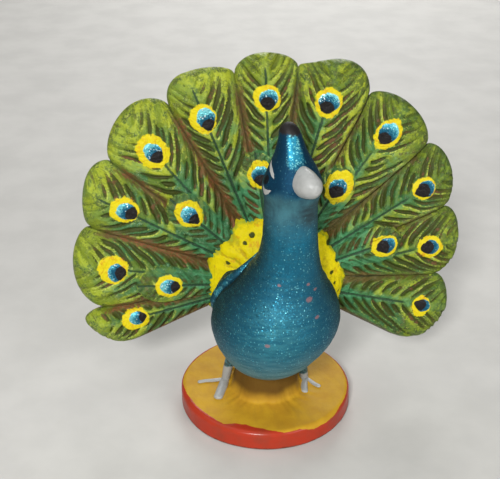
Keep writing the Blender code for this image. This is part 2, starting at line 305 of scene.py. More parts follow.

# painted eyes. Degrees and distance from the root, then sizes across and along the feather, in millimetres:
# ring shift, ring half size, opening shift, opening half size, dark spot shift and radius, and last how
# strong the painted sheen and painted glints on the glitter are, from 0 to 1
eyes = (
    (192, 25.2, 0.4, 0, 1.95, 2.5, 0.2, -0.55, 1.2, 1.6, 0.3, -2, 1.3, 0.45),
    (171.6, 27.7, 0.05, 0.4, 2.6, 2.65, 0.55, -0.35, 1.55, 1.7, 0.65, -1.35, 1.4, 0.45),
    (150, 28.9, 0, 0.4, 2.25, 2.6, 0, -0.25, 1.45, 1.9, 0, -1.35, 1.4, 0.6),
    (129.2, 31.9, -0.05, -0.25, 2.65, 3.1, -0.05, -0.5, 1.4, 2.05, 0.05, -1.85, 1.4, 0.6),
    (110.5, 31.7, 0.25, 0.25, 2.3, 2.6, -0.2, -0.1, 1.5, 1.95, -0.2, -1.4, 1.35, 0.8),
    (91.5, 33, -0.15, -0.15, 2.4, 2.3, -0.35, -0.45, 1.55, 1.75, -0.15, -1.25, 1.3, 1),
    (73.5, 33.2, -0.3, -0.15, 2.35, 2.65, -0.3, -0.2, 1.75, 1.85, -0.15, -1.15, 1.35, 1),
    (52.8, 32.5, -0.35, 0.1, 2.2, 2.85, -0.25, 0.1, 1.6, 2.1, -0.35, -1.1, 1.4, 0.4),
    (30.5, 31.1, 0, -0.1, 2, 2.1, -0.2, -0.05, 1.45, 1.8, -0.25, -0.7, 1.45, 0.15),
    (10.1, 28.8, -0.2, -0.2, 2.05, 2.3, -0.2, -0.25, 1.3, 1.65, -0.1, -0.85, 1.35, 0.2),
    (-13.1, 27.9, -0.25, -0.1, 2.1, 1.6, 0, 0, 1.2, 1.45, 0.1, -0.55, 1.25, 0.1),
    (178.1, 18.4, 0, 0.1, 2.05, 2.35, 0.05, -0.25, 1.3, 1.7, 0.15, -1.65, 1.3, 0.65),
    (136.6, 20.1, 0.05, -0.25, 2.25, 2.65, 0.15, -0.7, 1.4, 1.8, 0.15, -2.15, 1.4, 0.45),
    (96.9, 20.4, -0.35, -0.4, 2.2, 2.6, -0.35, -0.65, 1.5, 1.8, -0.25, -1.8, 1.4, 0.6),
    (56.5, 20.6, -0.2, 0, 2.4, 3.1, -0.1, -0.45, 1.5, 1.9, -0.4, -1.35, 1.5, 0.6),
    (17.1, 20.7, -0.4, -0.15, 2.1, 2.4, -0.3, 0.05, 1.45, 1.7, -0.4, -0.65, 1.5, 0.2),
)


def fanGrid():
    # one closed profile spun round the root; every point then knows its row and column
    rows = fan["flatRows"] + 2 * fan["rimRows"] + fan["backRows"]
    columns = fan["columns"] * len(fan["quills"])
    sweep = 5.5
    bm = bmesh.new()
    stand = Matrix.Translation((3, 0, 0)) @ Matrix.Rotation(math.pi / 2, 4, "X")
    made = bmesh.ops.create_circle(bm, segments=rows, radius=1, matrix=stand)
    profile = made["verts"] + list({e for v in made["verts"] for e in v.link_edges})
    bmesh.ops.spin(
        bm, geom=profile, cent=(0, 0, 0), axis=(0, 0, 1), dvec=(0, 0, 0), angle=sweep, steps=columns
    )
    bmesh.ops.holes_fill(bm, edges=[e for e in bm.edges if e.is_boundary], sides=0)
    mesh = meshFrom(bm, "tail_fan")
    p = pointsOf(mesh)
    out = np.hypot(p[:, 0], p[:, 1])
    row = np.rint(np.arctan2(p[:, 2], out - 3) % (2 * np.pi) / (2 * np.pi) * rows).astype(int) % rows
    turn = (np.arctan2(p[:, 1], p[:, 0]) + 0.2) % (2 * np.pi) - 0.2
    column = np.rint(turn / sweep * columns).astype(int)
    return mesh, row, column


def chance(*keys):
    # a steady random number from 0 to 1 for each whole-number key
    mixed = sum(np.asarray(key, float) * step for key, step in zip(keys, (12.9898, 78.233, 37.719)))
    return np.sin(mixed) * 43758.5453 % 1


def cutBarbs(along, across, key, look, width):
    # how deep in a cut each point is, its distance beyond the cut's edge, which side of the cut it is on,
    # the place along the feather and a random number for each barb
    slope = look["lean"] + 2 * look["bend"] * across
    line = along - look["lean"] * across - look["bend"] * across**2
    place = line / look["pitch"] + chance(key, 7)
    cell = np.floor(place)
    gap = (place - cell - 0.5 - 0.22 * (chance(cell, key, 1) - 0.5)) * look["pitch"] / np.sqrt(1 + slope**2)
    start = look["start"] * (0.6 + 1.3 * chance(cell, key, 2))
    end = np.minimum(look["reach"] * (0.38 + 0.75 * chance(cell, key, 3)), 0.94 * width)
    middle, half = (start + end) / 2, np.maximum(0.05, (end - start) / 2)
    inside = np.clip(1 - ((across - middle) / half) ** 2, -1, 1)
    wide = look["cut"] * (0.6 + 0.75 * chance(cell, key, 4)) * np.sign(inside) * np.sqrt(np.abs(inside))
    groove = unit(1 - (gap / np.maximum(wide, 0.001)) ** 2) * (wide > 0)
    return groove, np.abs(gap) - wide, np.tanh(gap / 0.15), line, chance(np.rint(place), key, 5)


def buildFan(paint):
    mesh, row, column = fanGrid()
    flat, rim, back = fan["flatRows"], fan["rimRows"], fan["backRows"]
    n, last = fan["columns"], len(fan["quills"]) - 1

    # place in the row: share of the way to the rim, front or back
    bow = np.sin(np.linspace(0, np.pi / 2, rim + 1))
    flatEnd = 1 - fan["rim"]
    outward = np.linspace(fan["start"], flatEnd, flat, endpoint=False)
    inward = np.linspace(flatEnd, fan["start"], back)[1:]
    frontShare = np.concatenate([outward, flatEnd + fan["rim"] * bow])
    backShare = np.concatenate([flatEnd + fan["rim"] * bow[-2::-1], inward])
    shares = np.concatenate([frontShare, backShare])
    shares = np.pad(shares, (0, flat + 2 * rim + back - len(shares)), mode="edge")
    share = shares[row]
    front = row < len(frontShare)

    # place in the column: the feather, and how far from its quill
    feather = np.minimum(column // n, last)
    v = (column - feather * n) / n * 2 - 1
    edges, quills = np.radians(fan["edges"]), np.radians(fan["quills"])
    side = np.where(v < 0, feather, feather + 1)
    span = edges[side] - quills[feather]
    angle = quills[feather] + span * np.abs(v)

    # outline
    lift = fan["rise"] * fan["radius"]
    reach = lift * np.sin(angle) + np.sqrt(fan["radius"] ** 2 - (lift * np.cos(angle)) ** 2)
    reach += (np.array(fan["tipShift"])[feather] + 2.6 * v * np.array(fan["skew"])[feather]) * (1 - v**2)
    notch = np.array(fan["notches"])[side] * (1 - (1 - unit(np.abs(v)) ** 2.2) ** 0.6)
    free = ((feather == 0) & (v < 0)) | ((feather == last) & (v > 0))
    reach -= np.where(free, fan["endDrop"] * (1 - np.sqrt(unit(1 - v**2))), notch)
    r = share * reach
    x, z = r * np.cos(angle), r * np.sin(angle)
    spot = stack(x, z, np.zeros_like(x))

    # distances from the quill
    across = np.abs(r * np.sin(angle - quills[feather]))
    along = r * np.cos(angle - quills[feather])
    width = np.abs(r * np.sin(span)) + 1e-6
    wander = lumps(stack(x, z, feather * 9.0), 5.0, 1)
    fine = lumps(spot, 1.3, 2)
    wobble = 1 + 0.09 * lumps(spot, 1.9, 20) + 0.05 * fine

    # eyes: 1 at the outline of each ring, opening and dark spot
    ring, opening, dark = (np.full_like(x, 9.0) for _ in range(3))
    glow = np.zeros_like(x)
    for degrees, distance, *sizes, shine in eyes:
        rs, rt, ringWide, ringLong, os, ot, openWide, openLong, ds, dt, darkSize = sizes
        a = math.radians(degrees)
        s = -x * math.sin(a) + z * math.cos(a)
        t = x * math.cos(a) + z * math.sin(a) - distance
        ring = np.minimum(ring, np.hypot((s - rs) / ringWide, (t - rt) / ringLong) * wobble)
        drop = 1.06 - 0.3 * ease(0.3, -openLong, t - ot)
        opening = np.minimum(opening, np.hypot((s - os) / (openWide * drop), (t - ot) / openLong) * wobble)
        dark = np.minimum(dark, np.hypot(s - ds, t - dt) / darkSize * (1 + 0.1 * fine))
        glow[np.hypot(s, t) < 4] = shine

    # long feathers
    drift = 0.55 * lumps(stack(x, z, feather * 9.0 + 4.0 * (v > 0)), 2.6, 21)
    keys = feather * 2 + (v > 0)
    groove, brink, tipSide, line, tint = cutBarbs(
        along + drift, across + 0.12 * wander, keys, barbs["long"], width
    )
    clear = ease(0.2, 0.9, width - across) * ease(6, 9, r)
    painted = ease(1.0, 1.2, ring)
    calm = np.where(quills[feather] > math.radians(100), 0.85, 0.3)
    smoothTip = 1 - ease(0.86, 0.95, share + 0.05 * wander) * calm
    groove *= clear * smoothTip
    brink += 0.6 * (1 - clear) + 0.35 * (1 - smoothTip)
    beyond = share - np.array(fan["quillEnds"])[feather]
    quillWidth = np.array(fan["quillWidths"])[feather]
    quill = bell(across / quillWidth) * ease(0.03, -0.03, beyond)
    shoulder = bell(across / 1.1)
    body = fan["front"] - fan["valley"] * np.abs(v) ** 2.5 * unit(share / 0.3)
    leanSide = np.where(quills[feather] > math.radians(92), -v, np.where(feather == 5, np.abs(v), v))
    tilt = fan["tilt"] + fan["overlap"] * ease(80, 60, np.degrees(angle))
    body += tilt * leanSide * np.abs(v) ** 1.5 * ease(0.4, 0.8, share)
    body += fan["puff"] * (1 - v**2) * bell((share - 0.9) / 0.09)
    crest = 0.48 * ease(-0.1, 0.55, brink) * clear
    relief = crest - barbs["long"]["depth"] * groove - fan["quillDepth"] * quill + 0.2 * shoulder
    quill *= np.minimum(1, 0.3 / quillWidth)

    # short feathers over the valleys
    for k, deg in enumerate(shortFeathers["angles"]):
        a = math.radians(deg)
        s = np.abs(-x * math.sin(a) + z * math.cos(a))
        t = x * math.cos(a) + z * math.sin(a)
        u = unit((t - shortFeathers["foot"]) / (shortFeathers["tip"] - shortFeathers["foot"]))
        half = shortFeathers["width"] / 2 * np.sqrt(unit(1 - (np.maximum(0, u - 0.74) / 0.26) ** 2))
        half *= 0.32 + 0.68 * unit(u / 0.7) ** 0.8
        cover = ease(0.0, 0.55, half - s) * (np.abs(angle - a) < 0.6)
        grooveShort, brinkShort, sideShort, lineShort, tintShort = cutBarbs(
            t, s, 40 + 2 * k + (angle > a), barbs["short"], half
        )
        inside = ease(0.0, 0.7, half - s)
        brinkShort += ease(0.68, 0.86, u) * (0.02 - brinkShort)
        quillShort = bell(s / 0.28)
        crown = 1 - 0.55 * (s / np.maximum(half, 0.3)) ** 2
        inner = fan["front"] + shortFeathers["rise"] * crown * ease(0, 0.2, u)
        reliefShort = 0.12 * ease(-0.1, 0.4, brinkShort) - barbs["short"]["depth"] * grooveShort
        reliefShort = reliefShort * inside - 0.25 * quillShort
        covered = (
            (body, inner), (relief, reliefShort), (brink, brinkShort + 0.2 * (1 - inside)),
            (tipSide, sideShort), (quill, quillShort), (line, lineShort), (across, s), (width, half + 1),
            (tint, tintShort),
        )
        for old, new in covered:
            old += cover * (new - old)

    rounding = np.sqrt(unit(1 - np.maximum(0, (share - 1 + fan["rim"]) / fan["rim"]) ** 2))
    gap = np.minimum(angle - edges[-1], edges[0] - angle) * r
    thin = np.sqrt(unit(1 - (1 - unit(gap / 3.2)) ** 2))
    height = body * rounding * thin + relief * painted * ease(0, 1.2, body * rounding * thin)
    raised = 0.15 * ease(1.05, 0.93, ring) + 0.14 * np.sqrt(unit(1 - opening**2))
    height += (0.12 * wander + 0.05 * fine + raised) * rounding * thin
    plain = 0.5 * fan["valley"] * np.abs(v) ** 2 - fan["back"] + 0.1 * wander + 0.04 * fine
    height = np.where(front, height, plain * rounding * thin)

    lean = math.radians(fan["lean"])
    p = np.array(fan["root"]) + np.outer(x, (1, 0, 0)) + np.outer(z, (0, math.sin(lean), math.cos(lean)))
    p += np.outer(height, (0, -math.cos(lean), math.sin(lean)))
    setPoints(mesh, p * mm)

    markPoints(
        mesh, brink=np.where(front, np.clip(brink, -1, 1), 1), tipSide=tipSide, tint=tint, tipward=share,
        ring=np.where(front, ring, 9), opening=np.where(front, opening, 9), dark=np.where(front, dark, 9),
        glow=glow, seam=np.clip(width - across, 0, 9), quill=np.where(front, quill, 0),
        beside=np.where(front, shoulder, 0), valley=1 - ease(0.0, 2.4, width - across),
        front=front.astype(float), stroke=stack(line, across, feather * 7.0) * mm,
    )
    finishPiece(mesh, paint)


def fanPaint():
    p = Paint("fan_paint", specular=0.22)
    brink, tipSide, tip, quill = p.mark("brink"), p.mark("tipSide"), p.mark("tipward"), p.mark("quill")
    tint, stroke = p.mark("tint"), p.mark("stroke", vector=True)
    streaks = p.grain(0.5, 3, 0.6, at=stroke, stretch=(1.0, 0.25, 1.0))
    strokes = p.grain(0.8, 3, 0.6, at=stroke, stretch=(0.3, 1.0, 1.0))
    broad, blotch, fine = p.grain(3.2, 2), p.grain(1.1, 3, 0.6), p.grain(0.42, 2, 0.6)
    patches = p.grain(2.2, 4, 0.7)
    # the right of the fan, where the valleys are narrower, the teal by the quills wider, and the tips, rims
    # and creases darker: partly the paint, partly painted shade, as that side gets less light
    right = p.step(p.axis("X"), -5 * mm, 25 * mm)
    # the upper fan, where the lime is painted yellower and laid on more barbs: painted light from above
    paintedTopLight = p.step(p.axis("Z"), 25 * mm, 58 * mm)
    brown = p.mix(p.step(broad + fine.sway(0.3), 0.44, 0.6), "umber", "rust")
    dirty = p.mix(p.step(blotch + tint.sway(0.3), 0.56, 0.7), "olive", "umber")

    # ground: teal by the root, leaf green further out, moss at the tips, all of it soiled with dark green
    p.colour = p.mix(p.step(tip + broad.sway(0.7), 0.34, 0.56), "teal", "leaf")
    mossy = p.step(tip + blotch.sway(0.34) - 0.09 * right, 0.76, 0.96, 0.0, 0.85)
    p.lay(mossy, "moss")
    dirt = p.step(blotch + streaks.sway(0.5) + patches.sway(0.4), 0.43, 0.56)
    p.lay(dirt * p.step(tip, 0.6, 1.0, 0.9, 0.75), "deepGreen")
    cool = p.step(p.grain(5.0, 2) + blotch.sway(0.5), 0.46, 0.6) * p.step(tip, 0.75, 0.95, 1.0, 0.3)
    p.lay(cool * 0.65, "teal")

    # fresh green dragged over the raised barbs, stronger on some than on others
    # painted light: yellower lime higher up the fan
    lime = p.mix(paintedTopLight, "lime", "sunny")
    fresh = p.mix(p.step(blotch + tint.sway(0.5) + 0.1 * paintedTopLight, 0.4, 0.65), "moss", lime)
    fresh = p.mix(p.step(tip + broad.sway(0.4) + tint.sway(0.2), 0.42, 0.66), "jade", fresh)
    fresh = p.mix(cool * 0.55, fresh, "jade")
    strength = p.step(tint + patches.sway(1.2) + streaks.sway(0.7) + 0.3 * paintedTopLight, 0.28, 0.95, 0.2, 0.95)
    crest = p.step(brink + streaks.sway(0.3), 0.08, 0.34) * strength
    mottle = 0.7 * patches + blotch.sway(0.5) + p.grain(0.8, 4, 0.75).sway(0.6) + 0.12 * right
    tipCover = p.step(mottle, 0.3, 0.5, 0.85, 0.12)
    p.lay(p.blend(p.step(tip, 0.8, 0.93), crest, tipCover), fresh)
    spots = p.step(patches + fine.sway(0.3), 0.56, 0.62) * p.step(tip, 0.6, 0.8) * (0.4 + 0.4 * right)
    p.lay(spots, p.mix(p.step(blotch, 0.56, 0.62), "deepGreen", "mud"))
    cut = p.fall(brink + fine.sway(0.3), -0.1, 0.1)
    p.lay(cut * p.step(tip, 0.9, 0.98, 0.95, 0.5), dirty)

    # a pale line on the upper edge of a cut, partly dry brushing and partly a painted highlight on the side
    # that faces the light, and brown left in the valleys
    light = p.mix(p.step(fine, 0.4, 0.65), "lime", "paleLime")
    light = p.mix(p.step(tip + broad.sway(0.3), 0.36, 0.6), "jade", light)
    # stronger on the side of the cut that faces the light: a painted highlight over the dry brushing
    edge = p.step(brink, 0.0, 0.09) * p.fall(brink, 0.16, 0.34) * (0.6 - 0.4 * tipSide)
    brushedAndLitEdge = p.step(streaks + fine.sway(0.5) + tint.sway(0.3), 0.42, 0.6)
    p.lay(edge * brushedAndLitEdge * p.step(tip, 0.85, 0.97, 0.95, 0.4), light)
    # pale specks on the barbs: partly dry brushing, partly painted glints on the varnish
    specksAndGlints = p.step(p.grain(0.34, 3, 0.7) + patches.sway(0.7) - 0.05 * right, 0.59, 0.67, 0.0, 0.6)
    paleSpeckAndGlint = p.mix(cool * p.fall(tip, 0.85, 0.95), light, "paleSpeckAndGlint")
    p.lay(specksAndGlints * p.step(brink, -0.05, 0.15), paleSpeckAndGlint)
    inner = p.step(tip, 0.35, 0.8, 0.2, 0.0)
    low = p.mark("valley") + blotch.sway(0.8) + streaks.sway(0.8) + inner - 0.12 * right
    muddy = p.mix(p.step(fine + 0.22 * right, 0.42, 0.62, 0.1, 0.85), brown, "mud")
    p.lay(p.step(low, 0.45, 0.8) * p.step(tip, 0.85, 0.95, 0.45, 0.0), "mud")
    p.lay(p.step(low, 0.72, 0.9) * p.step(tip, 0.88, 0.97, 0.92, 0.0), muddy)

    # quills, rims darkened where they turn away, partly dark paint and partly painted shade, and painted
    # shadow over dark paint in the creases between the feathers
    beside = p.step(p.mark("beside") + strokes.sway(1.2), 0.5, 0.8, 0.0, 0.75)
    reach = p.step(tip, 0.35, 0.75, 1.0, 0.12) + 0.35 * right * p.fall(tip, 0.78, 0.84)
    sea = p.mix(p.step(blotch + streaks.sway(0.8), 0.38, 0.62), "teal", "jade")
    sea = p.mix(p.step(patches + strokes.sway(0.6), 0.52, 0.64, 0.0, 0.8), sea, "deepGreen")
    p.lay(beside * reach, sea)
    line = quill + fine.sway(0.5) + strokes.sway(0.3)
    p.lay(p.step(line, 0.42, 0.7, 0.0, 0.9), "pine")
    # the rim: dark paint and painted shade where it turns away from the light, more on the right
    worn = p.step(tip + blotch.sway(0.03), 0.965, 0.995) * (0.15 + 0.35 * right)
    p.lay(worn, "deepGreen")
    # painted shadow over dark paint in the creases where one feather lies over the next, more on the right
    seam = p.fall(p.mark("seam") + blotch.sway(0.25), 0.1, 0.28) * (0.32 + 0.5 * right)
    p.lay(seam * p.step(tip, 0.4, 0.55), "creaseShadow")

    # the eyes: glitter is dark by the black spot and bright beyond it, under a painted sheen with painted
    # glints as strong as each eye's sheen mark
    yellow = p.mix(p.step(blotch + fine.sway(0.4), 0.5, 0.72), "yellow", "amber")
    ring, opening, dark = p.mark("ring"), p.mark("opening"), p.mark("dark")
    ragged = fine.sway(0.16) + p.grain(0.9, 2).sway(0.34)
    inRing = p.fall(ring + ragged, 0.96, 1.04)
    inside = p.fall(opening + ragged, 0.95, 1.05)
    inDark = p.fall(dark + ragged, 0.95, 1.05)
    parts, luck, facing = p.flakes(0.2, 0.3)
    glow = p.mark("glow")
    glitter = p.mix(p.step(dark + parts.sway(0.4), 1.0, 2.2), "steel", "lagoon")
    # painted sheen and painted glints on the glitter, as strong as each eye's sheen mark
    glitter = p.mix(glow * p.step(dark + parts.sway(0.7), 1.3, 2.1), glitter, "cyan")
    glitter = p.mix(glow * p.step(luck + blotch.sway(0.3), 0.93, 0.97), glitter, "paintedGlint")
    p.lay(inRing, yellow)
    p.lay(inside, p.mix(inDark, glitter, "blackPaint"))
    shiny = inside * (1 - inDark)

    # the back is plainer: brown clay paint with a dark green wash
    long = p.grain(1.0, 3, 0.6, at=stroke, stretch=(0.16, 1.0, 1.0))
    behind = p.mix(p.step(long + broad.sway(0.3), 0.42, 0.62), "leaf", "deepGreen")
    behind = p.mix(p.step(tip + long.sway(0.4), 0.8, 0.97), behind, "moss")
    behind = p.mix(p.step(p.mark("valley") + long.sway(0.6), 0.45, 0.75, 0.0, 0.65), behind, brown)
    p.colour = p.mix(p.mark("front"), behind, p.colour)

    bump = p.height(streaks * 0.8 + blotch * 0.7 + fine * 0.5, 0.36)
    return p.coat(
        Metallic=shiny * 0.7, Roughness=p.blend(shiny, 0.34 + 0.2 * blotch, 0.34),
        Normal=p.mixVectors(shiny * luck, bump, facing),
    )


bird = {
    "belly": 9.4, "height": 47.8, "columns": 200, "rows": 220,
    # height share, centre x, centre y, half width, half depth, all as shares of the height
    "stations": (
        (0.017, 0.000, -0.106, 0.058, 0.066),
        (0.062, -0.006, -0.108, 0.124, 0.145),
        (0.14, 0.003, -0.113, 0.191, 0.21),
        (0.239, 0.019, -0.116, 0.228, 0.234),
        (0.332, 0.027, -0.122, 0.205, 0.214),
        (0.415, 0.037, -0.145, 0.151, 0.158),
        (0.498, 0.05, -0.17, 0.11, 0.116),
        (0.581, 0.054, -0.185, 0.093, 0.098),
        (0.664, 0.054, -0.189, 0.089, 0.091),
        (0.737, 0.054, -0.191, 0.089, 0.091),
        (0.795, 0.057, -0.195, 0.098, 0.102),
        (0.851, 0.057, -0.191, 0.077, 0.087),
        (0.902, 0.054, -0.183, 0.051, 0.058),
        (0.954, 0.05, -0.174, 0.036, 0.039),
        (0.99, 0.046, -0.17, 0.021, 0.023),
    ),
    # folded wings and rump, blended into the body: place, half sizes and tip in degrees
    "swells": (
        ((-3.92, -0.72, 20.2), (5.26, 7.17, 8.22), 15),
        ((6.02, -0.72, 20.2), (5.26, 7.17, 8.22), 15),
        ((1.58, 5.45, 20.1), (8.84, 6.45, 9.08), 0),
    ),
    # bare clay spots on the breast: x, z and size in millimetres
    "worn": (
        (5.0, 31.4, 0.3), (0.2, 31.7, 0.3), (6.2, 30.1, 0.3), (5.1, 28.9, 0.5), (6.4, 25.8, 0.35),
        (-2.0, 22.2, 0.4),
    ),
    # pale strokes round the eye, as points on the skin with half widths; the other cheek mirrors them
    "strokes": (
        (
            (-0.6, -8.3, 51.5, 0.08), (-0.7, -9.25, 50.8, 0.28), (-0.67, -10.3, 50.35, 0.38),
            (-0.6, -11.2, 49.9, 0.32), (-0.39, -12.0, 49.3, 0.12),
        ),
        (
            (-2.15, -9.7, 48.3, 0.08), (-2.1, -10.2, 47.5, 0.28), (-1.9, -10.8, 47.0, 0.52),
            (-1.45, -11.6, 47.3, 0.34), (-0.85, -12.3, 47.9, 0.1),
        ),
    ),
    "eye": (-1.5, -10.6, 48.9), "head": (2.72, -9.32), "facing": (0.292, -0.956),
    # the painted sheen on the forehead faces this way; round the chin the neck has a painted shadow of the
    # beak over dark paint, and the breast has a lighter patch, partly paler paint and partly a painted
    # highlight
    "sheen": (0.09, -0.996), "chinShadow": (5.2, -12.7, 43.6), "chinShadowSize": 2.7,
    "breastSheen": (-1.3, -15.9, 22.6), "breastSheenSize": 5.5,
    # on the left, a shallow hollow behind the wing edge and the crease at the wing tip
    "hollow": ((-2.6, -6.2, 29.0), (-4.4, -5.6, 27.2), (-6.2, -4.6, 24.8), (-7.6, -3.2, 22.0)),
    "crease": ((-9.7, -3.4, 19.0), (-9.2, -4.6, 17.2), (-8.2, -6.0, 15.4)),
}


def pathDistance(points, path, widths=None):
    # distance to a line of points, or in half widths when those are given
    nearest = np.full(len(points), 99.0)
    path = np.array(path, float)
    widths = np.ones(len(path)) if widths is None else np.array(widths)
    for k in range(len(path) - 1):
        a, b = path[k], path[k + 1]
        t = unit((points - a) @ (b - a) / np.dot(b - a, b - a))
        gap = np.linalg.norm(points - a - np.outer(t, b - a), axis=1)
        nearest = np.minimum(nearest, gap / (widths[k] + (widths[k + 1] - widths[k]) * t))
    return nearest


def onSkin(skin, path):
    # each point of the path moved to the nearest point of the skin
    return [skin[np.argmin(((skin - np.array(spot)) ** 2).sum(axis=1))] for spot in path]


def mirrored(path, point, direction):
    # the path seen in an upright mirror through the point, along the direction
    along = np.array([*direction, 0.0])
    away = np.array(path, float) - np.array([*point, 0.0])
    flat = away * (1, 1, 0)
    return away + 2 * np.outer(flat @ along, along) - 2 * flat + np.array([*point, 0.0])


def buildBird(paint):
    bm = bmesh.new()
    bmesh.ops.create_uvsphere(bm, u_segments=bird["columns"], v_segments=bird["rows"], radius=1)
    mesh = meshFrom(bm, "bird")
    p = pointsOf(mesh)
    turn = np.arctan2(p[:, 1], p[:, 0])
    climb = 1 - np.arccos(np.clip(p[:, 2], -1, 1)) / np.pi
    share = 0.45 * climb + 0.55 * (1 - np.cos(np.pi * climb)) / 2
    # near both ends the widths follow a circle, so they are divided by one before the curve is read
    table = np.array(bird["stations"])
    table[:, 3:] /= np.sqrt(table[:, 0] * (1 - table[:, 0]))[:, None]
    table = np.vstack([[0, *table[0, 1:]], table, [1, *table[-1, 1:]]])
    cx, cy, wide, deep = curveThrough(table, share).T
    bulge = np.sqrt(unit(share * (1 - share)))
    h = bird["height"]
    core = stack(h * cx, h * cy, bird["belly"] + h * share)
    offset = stack(h * wide * bulge * np.cos(turn), h * deep * bulge * np.sin(turn), 0 * turn)
    girth = np.linalg.norm(offset, axis=1)
    way = offset / np.maximum(girth, 1e-6)[:, None]
    for place, size, tip in bird["swells"]:
        upright = np.array(Matrix.Rotation(math.radians(tip), 3, "X")) / np.array(size)
        start, step = (core - np.array(place)) @ upright, way @ upright
        a, b, c = (step**2).sum(1) + 1e-9, (start * step).sum(1), (start**2).sum(1) - 1
        inside = b * b - a * c
        more = (np.sqrt(np.maximum(inside, 0)) - b) / a - girth
        more = -4 + (more + 4) * ease(0, 0.25 * a, inside)
        girth += (more + np.sqrt(more**2 + 0.5)) / 2 * ease(0, 3, girth)
    skin = core + way * girth[:, None]

    push = 0.12 * lumps(skin, 6, 3) + 0.05 * lumps(skin, 2, 4)
    push += 0.3 * bell(np.linalg.norm(skin - np.array(bird["eye"]), axis=1) / 1.2)
    hollow, crease = (pathDistance(skin, onSkin(skin, bird[name])) for name in ("hollow", "crease"))
    push -= 0.35 * bell(hollow / 1.3) + 0.4 * bell(crease / 0.5)
    push *= ease(0, 0.04, share) * ease(1, 0.97, share)
    skin += way * push[:, None]
    setPoints(mesh, skin * mm)

    stripe = np.full(len(skin), 99.0)
    for stroke in bird["strokes"]:
        stroke = np.array(stroke)
        twin = mirrored(stroke[:, :3], bird["head"], bird["facing"])
        for path in (stroke[:, :3], twin):
            stripe = np.minimum(stripe, pathDistance(skin, path, stroke[:, 3]))
    markPoints(mesh, stripe=np.minimum(stripe, 9))
    worn = np.full(len(skin), 9.0)
    for x, z, size in bird["worn"]:
        gap = np.hypot((skin[:, 0] - x) * 0.7, skin[:, 2] - z) / size
        worn = np.minimum(worn, np.where(skin[:, 1] < -8, gap, 9))
    markPoints(mesh, worn=worn, rise=share, hollow=bell(hollow / 1.1) + bell(crease / 0.5))
    # where the painted sheen lies on the forehead
    ahead = way[:, 0] * bird["sheen"][0] + way[:, 1] * bird["sheen"][1]
    markPoints(
        mesh, ridge=ease(0.74, 1.0, ahead) * ease(0.84, 0.91, share) * ease(0.985, 0.965, share),
        # painted shade: the sides of the body turn darker away from the front
        flank=ease(0.9, 0.1, -way[:, 1]),
    )
    for name in ("chinShadow", "breastSheen"):
        gap = np.linalg.norm(skin - np.array(bird[name]), axis=1) / bird[name + "Size"]
        markPoints(mesh, **{name: bell(gap)})
    pupil = np.linalg.norm(skin - np.array(bird["eye"]), axis=1)
    other = mirrored([bird["eye"]], bird["head"], bird["facing"])
    markPoints(mesh, pupil=np.minimum(pupil, np.linalg.norm(skin - other, axis=1)))
    finishPiece(mesh, paint)


